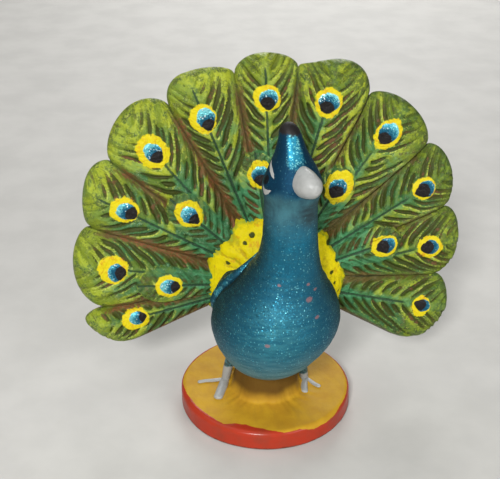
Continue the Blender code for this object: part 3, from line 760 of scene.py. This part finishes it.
def bluePaint():
    p = Paint("blue_paint", specular=0.3)
    rise, ridge = p.mark("rise"), p.mark("ridge")
    cloud, fine = p.grain(3.0, 3), p.grain(0.5, 2)
    brushed = p.grain(0.8, 3, 0.6, stretch=(0.25, 0.25, 1.6))
    upright = p.grain(0.9, 3, 0.6, stretch=(1.2, 1.2, 0.3))
    drift = rise + cloud.sway(0.06) + brushed.sway(0.02)
    under = p.fall(drift, 0.1, 0.27)
    throat = p.step(drift, 0.4, 0.56) * p.fall(drift, 0.64, 0.74)
    neck = p.step(drift, 0.61, 0.73) * p.fall(drift, 0.77, 0.81)
    head = p.step(drift, 0.77, 0.81)
    belly = p.mix(p.step(brushed, 0.36, 0.62), "slate", "haze")
    # painted shade at the very bottom of the belly, with the base's yellow reflected into it
    belly = p.mix(p.step(drift, 0.03, 0.12, 0.85, 0.0), belly, "undersideShade")
    p.colour = p.mix(under, "ocean", belly)
    # a lighter patch low on the breast: partly paler paint, partly a painted highlight
    breastSheen = p.mark("breastSheen") * p.step(brushed + cloud.sway(0.5), 0.35, 0.65, 0.25, 0.9)
    p.lay(breastSheen, "breastSheen")
    p.lay(throat * p.step(upright, 0.35, 0.65, 0.3, 0.9), "throat")
    mottled = p.step(0.35 * upright + 0.65 * cloud, 0.36, 0.6)
    misty = p.mix(mottled, "mistDark", "mistLight")
    p.lay(neck * 0.85, misty)
    # painted shade: the sides of the body darker than the front, as if turned from the light
    side = p.mark("flank") * (1 - head) * (1 - 0.7 * under) * (0.8 + cloud.sway(0.6))
    p.lay(side, "flank")
    # painted shadow of the beak on the neck, over dark paint
    shaded = p.step(p.mark("chinShadow") + cloud.sway(0.2), 0.15, 0.95, 0.0, 0.9)
    p.lay(shaded * (1 - head), "chinShadow")
    p.lay(head, "midnight")
    # painted sheen: a painted reflection down the forehead and along the wing edges
    sheen = p.step(ridge + brushed.sway(0.9) + fine.sway(0.9), 0.3, 1.1, 0.0, 0.6)
    p.lay(sheen, "azure")
    p.lay(p.step(brushed, 0.4, 0.75, 0.0, 0.3) * (1 - head), "slate")

    parts, luck, facing = p.flakes(0.18, 0.42)
    face = head * p.fall(ridge, 0.1, 0.6)
    speck = p.step(luck + cloud.sway(0.5), 0.64, 0.9) * (1 - 0.8 * neck) * (1 - 0.7 * under)
    speck = speck * (1 - 0.8 * face)
    sparkle = speck * p.step(parts, 0.3, 0.9, 0.0, 0.3)
    p.lay(sparkle, "azure")
    # painted glints: bright cyan flakes, most on the painted sheen, fewer on the shaded sides, the neck, the
    # face and low down
    glint = p.step(luck - 0.16 * ridge, 0.965, 0.98) * (1 - neck) * (1 - 0.6 * under) * (1 - 0.7 * face)
    glint = glint * (1 - 0.6 * p.mark("flank"))
    glint = glint + p.step(luck, 0.78, 0.84) * p.step(ridge, 0.2, 0.8)
    p.lay(p.blend(ridge, 0.4, 0.85) * glint, "cyan")
    black = p.step(drift, 0.958, 0.968)
    p.lay(black, "blackPaint")
    bare = p.fall(p.mark("worn") + fine.sway(0.6), 0.6, 1.0)
    p.lay(bare * 0.6, "bareClay")
    # darker in the hollow behind the wing edge and the crease at the wing tip: partly olive paint, partly
    # painted shade
    shadeAndGrime = p.step(p.mark("hollow") + cloud.sway(0.4), 0.4, 1.1, 0.0, 0.8)
    p.lay(shadeAndGrime, "shadeAndGrime")
    pupil = p.fall(p.mark("pupil") * (1 / 0.75) + fine.sway(0.2), 0.9, 1.1)
    p.lay(pupil * 0.85, "blackPaint")
    stripe = p.fall(p.mark("stripe") + fine.sway(0.25), 0.92, 1.08)
    p.lay(stripe, "grey")
    metal = (1 - stripe) * (1 - black) * (1 - shaded) * (1 - 0.6 * neck) * (1 - 0.4 * under) * 0.7
    rough = 0.54 + 0.14 * cloud + 0.06 * neck + 0.06 * under - 0.12 * ridge
    bump = p.height(brushed * 0.6 + upright * 0.6 + cloud * 0.4, 0.08)
    return p.coat(
        Metallic=metal, Roughness=p.blend(speck, rough, 0.42),
        Normal=p.mixVectors(speck * (1 - stripe) * (1 - black), bump, facing),
    )


collar = {
    "centre": (2.25, 4.49, 22.3), "radius": 12.7, "depth": 7.5, "backDepth": 4.1, "lower": 0.88,
    # the scales reach further out round this direction
    "bulge": 0.14, "bulgeAngle": 2.08, "bulgeSpread": 0.58,
    "columns": 200, "rows": 110,
    # small pits with old paint: x, z from the centre, and size, in millimetres
    "pits": (
        (-4.6, 10.4, 0.55), (-5.9, 9.2, 0.4), (-3.1, 8.0, 0.35), (-9.0, 5.6, 0.4), (-7.0, 3.6, 0.35),
        (-8.2, 2.2, 0.3), (9.3, 7.6, 0.6), (10.6, 4.3, 0.4), (9.4, 2.6, 0.45), (9.9, 0.6, 0.35),
        (10.9, -1.4, 0.3),
    ),
}


def buildCollar(paint):
    bm = bmesh.new()
    bmesh.ops.create_uvsphere(bm, u_segments=collar["columns"], v_segments=collar["rows"], radius=1)
    bmesh.ops.rotate(bm, verts=bm.verts, matrix=Matrix.Rotation(math.pi / 2, 3, "X"))
    mesh = meshFrom(bm, "collar")
    p = pointsOf(mesh)
    outward = p.copy()
    around = np.arctan2(p[:, 2], p[:, 0])
    out = np.hypot(p[:, 0], p[:, 2])
    rings = stack(4 * np.cos(around), 4 * np.sin(around), 0 * around)
    ragged = 1 + 0.034 * lumps(rings, 1.1, 6) + 0.006 * lumps(rings, 0.4, 5)
    ragged += collar["bulge"] * bell((around - collar["bulgeAngle"]) / collar["bulgeSpread"])
    wide = np.where(p[:, 2] < 0, collar["lower"], 1.0)
    body = stack(
        p[:, 0] * collar["radius"] * ragged,
        p[:, 1] * np.where(p[:, 1] < 0, collar["depth"], collar["backDepth"]),
        p[:, 2] * collar["radius"] * wide * ragged,
    )
    front = ease(0.1, -0.15, p[:, 1])
    bend = around + 0.25 * lumps(body, 5, 14)
    spokes = stack(13 * np.cos(bend), 13 * np.sin(bend), 6 * out)
    fold = lumps(spokes, 1.5, 12) + 0.6 * lumps(spokes, 0.8, 13)
    swell = 0.3 * lumps(body, 3.2, 8) + 0.12 * lumps(body, 1.4, 9) + 0.34 * fold * ease(0.3, 0.6, out)
    pits = np.zeros(len(body))
    for x, z, size in collar["pits"]:
        gap = np.hypot(body[:, 0] - x, (body[:, 2] - z) * 1.2) / size
        pits = np.maximum(pits, 1 - ease(0.5, 1.5, gap * (1 + 0.3 * lumps(body, 0.8, 11))))
    pits = pits * front
    body += outward * (swell * front - 0.35 * pits)[:, None]
    lean = np.array(Matrix.Rotation(-math.radians(fan["lean"]), 3, "X"))
    setPoints(mesh, (body @ lean.T + np.array(collar["centre"])) * mm)
    markPoints(mesh, pits=pits, fold=fold, front=front, outer=out)
    finishPiece(mesh, paint)


def collarPaint():
    p = Paint("collar_paint", specular=0.08)
    cloud, fine = p.grain(2.2, 3), p.grain(0.7, 3, 0.6)
    strokes = p.grain(0.7, 3, 0.6, stretch=(1.0, 1.0, 0.35))
    p.colour = p.mix(p.step(cloud + strokes.sway(0.3), 0.54, 0.66), "yellow", "amber")
    p.lay(p.step(strokes, 0.56, 0.72, 0.0, 0.45), "oldYellow")
    groove = p.step(p.mark("fold") + fine.sway(0.8), -0.6, -0.25, 0.6, 0.0)
    p.lay(groove, p.mix(p.step(cloud, 0.44, 0.56), "ochre", "greenOchre"))
    # painted light: the right side of the collar lighter, where it turns away from the lamps
    right = p.step(p.axis("X"), 0, 8 * mm)
    p.lay(right * p.step(fine, 0.3, 0.7, 0.9, 0.2), "paintedLightYellow")
    green = p.step(p.mark("outer") + cloud.sway(0.4) + fine.sway(0.2), 0.9, 1.0, 0.0, 0.8)
    p.lay(green, "lime")
    p.lay(p.step(p.mark("pits") + fine.sway(0.3), 0.3, 0.7), "olive")
    behind = p.mix(p.step(cloud, 0.4, 0.65), "umber", "deepGreen")
    p.colour = p.mix(p.mark("front"), behind, p.colour)
    bump = p.height(strokes + 0.5 * fine, 0.22)
    return p.coat(Roughness=0.36 + 0.15 * fine, Normal=bump)


wingEdge = {
    "left": (
        (-1.3, -2.9, 32.2), (-3.1, -3.7, 30.7), (-5.5, -3.9, 28.6), (-7.6, -2.9, 26.2), (-9.1, -1.1, 22.4),
        (-8.9, 0.8, 19.2),
    ),
    "right": (
        (3.9, -2.1, 32.0), (5.8, -2.7, 30.5), (7.8, -3.0, 28.5), (9.5, -2.2, 26.0), (10.9, -0.7, 22.4),
        (11.0, 1.4, 19.0),
    ),
    "radii": (0.35, 0.64, 0.8, 0.84, 0.76, 0.45),
    "sides": 20, "steps": 60,
}


def buildWingEdge(side, paint):
    # a rolled edge of clay along the folded wing: rings of a tapered rod joined one to the next
    name, path, radii = f"{side}_wing_edge", np.array(wingEdge[side]), np.array(wingEdge["radii"])
    keys = np.linspace(0, 1, len(path))
    steps = np.linspace(0, 1, wingEdge["steps"])
    line = curveThrough(stack(keys, path, radii), steps)
    bm = bmesh.new()
    rings = []
    for k, (x, y, z, radius) in enumerate(line):
        ahead = Vector(line[min(k + 1, len(line) - 1), :3] - line[max(k - 1, 0), :3])
        turn = ahead.to_track_quat("Z", "Y").to_matrix().to_4x4()
        ends = math.sqrt(max(0.02, 1 - max(0, abs(2 * steps[k] - 1) - 0.9) ** 2 * 100))
        matrix = Matrix.Translation((x * mm, y * mm, z * mm)) @ turn
        made = bmesh.ops.create_circle(
            bm, segments=wingEdge["sides"], radius=radius * ends * mm, matrix=matrix,
            cap_ends=k in (0, len(line) - 1),
        )
        rings.append({e for v in made["verts"] for e in v.link_edges})
    for low, high in zip(rings, rings[1:]):
        bmesh.ops.bridge_loops(bm, edges=list(low | high))
    mesh = meshFrom(bm, name)
    p = pointsOf(mesh) / mm
    setPoints(mesh, (p + 0.06 * lumps(p, 1.2, 15)[:, None]) * mm)
    # the body paint with its marks set plain, the painted side shade at half strength, and a painted sheen
    # with glints in patches
    marks = {
        "stripe": 9, "worn": 9, "pupil": 9, "rise": 0.4, "hollow": 0, "flank": 0.5, "chinShadow": 0, "breastSheen": 0,
    }
    for mark, value in marks.items():
        markPoints(mesh, **{mark: np.full(len(p), value)})
    markPoints(mesh, ridge=unit(0.45 + 1.3 * lumps(p, 1.5, 16)))
    finishPiece(mesh, paint)


beak = {
    "face": (3.66, -11.9, 49.0), "aim": (0.29, -0.95, 0.08), "length": 5.1, "width": 4.3,
    "profile": ((0, 1.04), (0.35, 1.0), (0.6, 0.9), (0.8, 0.72), (0.93, 0.45), (1, 0.24)),
}


def buildBeak(paint):
    bm = bmesh.new()
    bmesh.ops.create_uvsphere(bm, u_segments=64, v_segments=60, radius=1)
    mesh = meshFrom(bm, "beak")
    p = pointsOf(mesh)
    t = unit((p[:, 2] + 1) / 2)
    ends = unit(np.minimum(t / 0.05, (1 - t) / 0.04))
    swell = curveThrough(beak["profile"], t)[:, 0] * np.sqrt(ends)
    girth = np.hypot(p[:, 0], p[:, 1]) + 1e-9
    sideways = p[:, 0] / girth * swell * beak["width"] / 2
    upward = p[:, 1] / girth * swell * beak["width"] / 2
    # the top of the beak runs up to a small point on the forehead
    crown = unit(upward / (beak["width"] / 2))
    sideways *= 1 - 0.22 * crown * (1 - t)
    upward *= 1 + 0.14 * crown * (1 - t)
    aim = Vector(beak["aim"]).normalized()
    left = Vector((0, 0, 1)).cross(aim).normalized()
    top = aim.cross(left)
    body = np.array(beak["face"]) + np.outer(t * beak["length"], aim)
    body += np.outer(sideways, left) + np.outer(upward, top)
    body += 0.05 * lumps(body, 1.6, 17)[:, None]
    setPoints(mesh, body * mm)
    finishPiece(mesh, paint)


legs = {
    "floor": 3.72, "legRadius": 0.84,
    "left": {
        "ankle": (-7.2, 1.2), "knee": (-5.6, -0.3, 13.5), "paintTop": 7.0,
        "toes": (((-12.0, 0.95), 0.38), ((-8.95, -3.85), 0.84)),
    },
    "right": {
        "ankle": (7.2, 0.0), "knee": (6.0, -0.96, 13.5), "paintTop": 4.9,
        "toes": (((6.6, -4.1), 0.62), ((9.4, -3.0), 0.42)),
    },
}


def addRod(bm, start, end, radius, endRadius, flat=1.0):
    # a stretched ball of clay between two points
    start, end = Vector(start), Vector(end)
    along = end - start
    turn = along.to_track_quat("Z", "Y").to_matrix().to_4x4()
    made = bmesh.ops.create_uvsphere(bm, u_segments=28, v_segments=24, radius=1)
    for v in made["verts"]:
        t = (v.co.z + 1) / 2
        grow = radius + (endRadius - radius) * t
        v.co *= grow
        v.co.z += along.length * ease(0.3, 0.7, t)
    placed = Matrix.Translation(start) @ turn
    bmesh.ops.transform(bm, matrix=placed, verts=made["verts"])
    for v in made["verts"]:
        v.co.z = start.z + (v.co.z - start.z) * flat if flat != 1 else v.co.z
        v.co *= mm


def buildLegs(side, paint):
    leg = legs[side]
    bm = bmesh.new()
    ankle = Vector((*leg["ankle"], legs["floor"]))
    addRod(bm, ankle, leg["knee"], legs["legRadius"], legs["legRadius"])
    for (x, y), radius in leg["toes"]:
        addRod(bm, ankle, (x, y, legs["floor"]), radius * 1.1, radius, flat=0.62)
    mesh = meshFrom(bm, f"{side}_leg")
    p = pointsOf(mesh) / mm
    wobble = stack(lumps(p, 1.5, 30), lumps(p, 1.5, 31), lumps(p, 1.5, 32))
    setPoints(mesh, (p + 0.12 * wobble) * mm)
    finishPiece(mesh, paint)


def greyPaint():
    # the beak and the feet; the upper legs are body colour, and on the right leg the body colour reaches
    # lower, partly as painted shade
    p = Paint("grey_paint")
    cloud, fine = p.grain(1.8, 3), p.grain(0.5, 2)
    p.colour = p.mix(p.step(cloud, 0.35, 0.75, 0.0, 0.6), "grey", "darkGrey")
    height = p.axis("Z") * (1 / mm) + cloud.sway(0.8)
    right = p.step(p.axis("X"), -mm, mm)
    above = height - p.blend(right, legs["left"]["paintTop"], legs["right"]["paintTop"])
    upper = p.step(above, 0, 0.4) * p.fall(height, 20, 21)
    p.lay(upper, p.mix(p.step(fine, 0.4, 0.6), "slate", "dusk"))
    return p.coat(Roughness=0.34 + 0.14 * fine, Normal=p.height(fine + cloud, 0.05))


base = {
    "radius": 15.4, "height": 3.6, "edgeRound": 0.9, "footRound": 0.35, "columns": 240,
    "mound": (0.0, -0.96), "moundRadius": 4.7, "moundTop": 12.0,
    # where mustard meets red: degrees round the base, and how far out and then down the side, in millimetres
    "border": (
        (-173, 14.7), (-152, 14.3), (-138, 14.3), (-127, 14.7), (-120, 13.6), (-112, 13.5), (-98, 14.1),
        (-85, 15.3), (-75, 15.3), (-65, 16.3), (-50, 16.1), (-37, 15.3), (-12, 15.2), (40, 14.8), (90, 15.2),
        (135, 14.6), (173, 15.4),
    ),
}


def buildBase(paint):
    r, h, top, foot = base["radius"], base["height"], base["edgeRound"], base["footRound"]
    outline = [(x, h) for x in np.linspace(0, r - top, 60)]
    for a in np.linspace(0.15, math.pi / 2, 9):
        outline.append((r - top + top * math.sin(a), h - top + top * math.cos(a)))
    outline += [(r, z) for z in np.linspace(h - top, foot, 9)[1:]]
    for a in np.linspace(0.3, math.pi / 2, 5):
        outline.append((r - foot + foot * math.cos(a), foot - foot * math.sin(a)))
    outline += [(x, 0) for x in np.linspace(r - foot, 0, 8)[1:]]
    bm = bmesh.new()
    first = bm.verts.new((0, 0, h))
    chain = [first]
    for x, z in outline[1:]:
        made = bmesh.ops.extrude_vert_indiv(bm, verts=[chain[-1]])
        made["verts"][0].co = (x, 0, z)
        chain.append(made["verts"][0])
    bmesh.ops.spin(
        bm, geom=list(bm.verts) + list(bm.edges), cent=(0, 0, 0), axis=(0, 0, 1), dvec=(0, 0, 0),
        angle=2 * math.pi, steps=base["columns"], use_merge=True,
    )
    mesh = meshFrom(bm, "base")
    p = pointsOf(mesh)
    out = np.hypot(p[:, 0], p[:, 1])
    around = np.arctan2(p[:, 1], p[:, 0])
    upper = p[:, 2] > h - top - 0.01
    dx, dy = p[:, 0] - base["mound"][0], p[:, 1] - base["mound"][1]
    gap, way = np.hypot(dx, dy), np.arctan2(dy, dx)
    circle = stack(2.6 * np.cos(way), 2.6 * np.sin(way), 0 * way)
    near = gap / (1 + 0.06 * lumps(circle, 1, 40))
    rise = (base["moundTop"] - h) * (1 - ease(base["moundRadius"] - 1.0, base["moundRadius"] + 2.0, near))
    rise += 0.4 * (1 - ease(base["moundRadius"], base["moundRadius"] + 4.5, near))
    folds = lumps(circle * 1.9, 1, 41) + 0.6 * lumps(circle * 3.6, 1, 42)
    rise += 0.22 * folds * ease(4.5, 6.5, gap) * (1 - ease(7.0, 11.5, gap))
    flatPoints = stack(p[:, 0], p[:, 1], 0 * out)
    rise += 0.07 * lumps(flatPoints, 3.2, 43) * ease(r, r - 2, out)
    p[:, 2] += np.where(upper, rise * ease(r - 0.2, r - 1.2, out), 0)
    wall = (p[:, 2] > 0.05) & (out > r - 1)
    hoop = stack(3 * np.cos(around), 3 * np.sin(around), p[:, 2] * 0.3)
    grow = 1 + np.where(wall, 0.006 * lumps(hoop, 1, 44), 0)
    p[:, 0] *= grow
    p[:, 1] *= grow
    setPoints(mesh, p * mm)
    degrees, distance = np.array(base["border"]).T
    border = np.interp(np.degrees(around), degrees, distance, period=360)
    markPoints(mesh, beyond=out + np.maximum(0, h - p[:, 2]) - border, mound=p[:, 2] - h)
    finishPiece(mesh, paint)


def basePaint():
    p = Paint("base_paint", specular=0.05)
    cloud, fine = p.grain(3.5, 3), p.grain(0.8, 3, 0.6)
    brushed = p.grain(1.2, 3, stretch=(1.0, 0.3, 1.0))
    height = p.axis("Z") * (1 / mm)
    mustard = p.mix(p.step(cloud, 0.35, 0.7), "mustard", "honey")
    mustard = p.mix(p.step(brushed, 0.45, 0.8, 0.0, 0.35), mustard, "toffee")
    # painted shadow of the belly: the mound darker as it rises, and a dark glaze near its top
    mustard = p.mix(p.step(p.mark("mound"), 0.3, 1.2, 0.0, 0.6), mustard, "moundShade")
    shadeAndGrime = p.step(p.mark("mound") + cloud.sway(1.2), 0.9, 2.6, 0.0, 0.88)
    mustard = p.mix(shadeAndGrime, mustard, "bellyShadow")
    red = p.mix(p.step(cloud, 0.4, 0.7), "red", "darkRed")
    line = p.mark("beyond") + p.grain(1.4, 2).sway(0.5) + fine.sway(0.3)
    rim = p.step(line, -0.06, 0.06)
    p.colour = p.mix(rim, mustard, red)
    # darker at the very bottom: partly wear, partly a painted contact shadow
    worn = p.fall(height + fine.sway(0.7), 0.22, 0.5)
    p.lay(worn * 0.8, "wearAndContactShadow")
    bump = p.height(fine * 0.6 + brushed * 0.6, 0.09)
    return p.coat(Roughness=0.36 + 0.18 * fine, Coat_Weight=0.35 * rim, Normal=bump)


blue, grey, gold = bluePaint(), greyPaint(), collarPaint()
buildFan(fanPaint())
buildBird(blue)
buildCollar(gold)
buildWingEdge("left", blue)
buildWingEdge("right", blue)
buildBeak(grey)
buildLegs("left", grey)
buildLegs("right", grey)
buildBase(basePaint())
print("figurine finished")


studio = {
    "camera": (-21.14, -149.37, 112.26), "azimuth": 7, "pitch": 27.75, "lens": 72, "sensor": 36,
    "key": {"place": (-140, -380, 290), "size": 80, "power": 2.0},
    "fill": {"place": (220, -300, 180), "size": 200, "power": 0.6},
    "top": {"place": (-120, 40, 320), "size": 300, "power": 0.35},
    "back": {"place": (90, 420, 240), "size": 260, "power": 1.2},
    "sky": 0.13,
}


def buildStudio():
    bm = bmesh.new()
    bmesh.ops.create_grid(bm, x_segments=1, y_segments=1, size=2.0)
    floor = addObject("floor", meshFrom(bm, "floor"))
    p = Paint("floor_paint")
    p.colour = p.mix(p.step(p.grain(14, 4), 0.3, 0.7), "floor", "floorShade")
    floor.data.materials.append(p.coat(Roughness=0.7))
    for name in ("key", "fill", "top", "back"):
        lamp = studio[name]
        light = bpy.data.lights.new(name, "AREA")
        light.size = lamp["size"] * mm
        light.energy = lamp["power"]
        holder = addObject(name, light)
        holder.location = Vector(lamp["place"]) * mm
        toward = Vector((0, 0, 30 * mm)) - holder.location
        holder.rotation_euler = toward.to_track_quat("-Z", "Y").to_euler()
    world = bpy.data.worlds.new("studio")
    world.use_nodes = True
    world.node_tree.nodes["Background"].inputs["Color"].default_value = (1, 1, 1, 1)
    world.node_tree.nodes["Background"].inputs["Strength"].default_value = studio["sky"]
    bpy.context.scene.world = world


def placeCamera():
    azimuth, pitch = math.radians(studio["azimuth"]), math.radians(studio["pitch"])
    level = math.cos(pitch)
    ahead = Vector((math.sin(azimuth) * level, math.cos(azimuth) * level, -math.sin(pitch)))
    lens = bpy.data.cameras.new("camera")
    lens.lens, lens.sensor_width = studio["lens"], studio["sensor"]
    lens.clip_start = 0.005
    camera = addObject("camera", lens)
    camera.location = Vector(studio["camera"]) * mm
    camera.rotation_euler = ahead.to_track_quat("-Z", "Y").to_euler()
    bpy.context.scene.camera = camera


buildStudio()
placeCamera()
bpy.context.scene.view_settings.view_transform = "Standard"
print("camera and light placed")
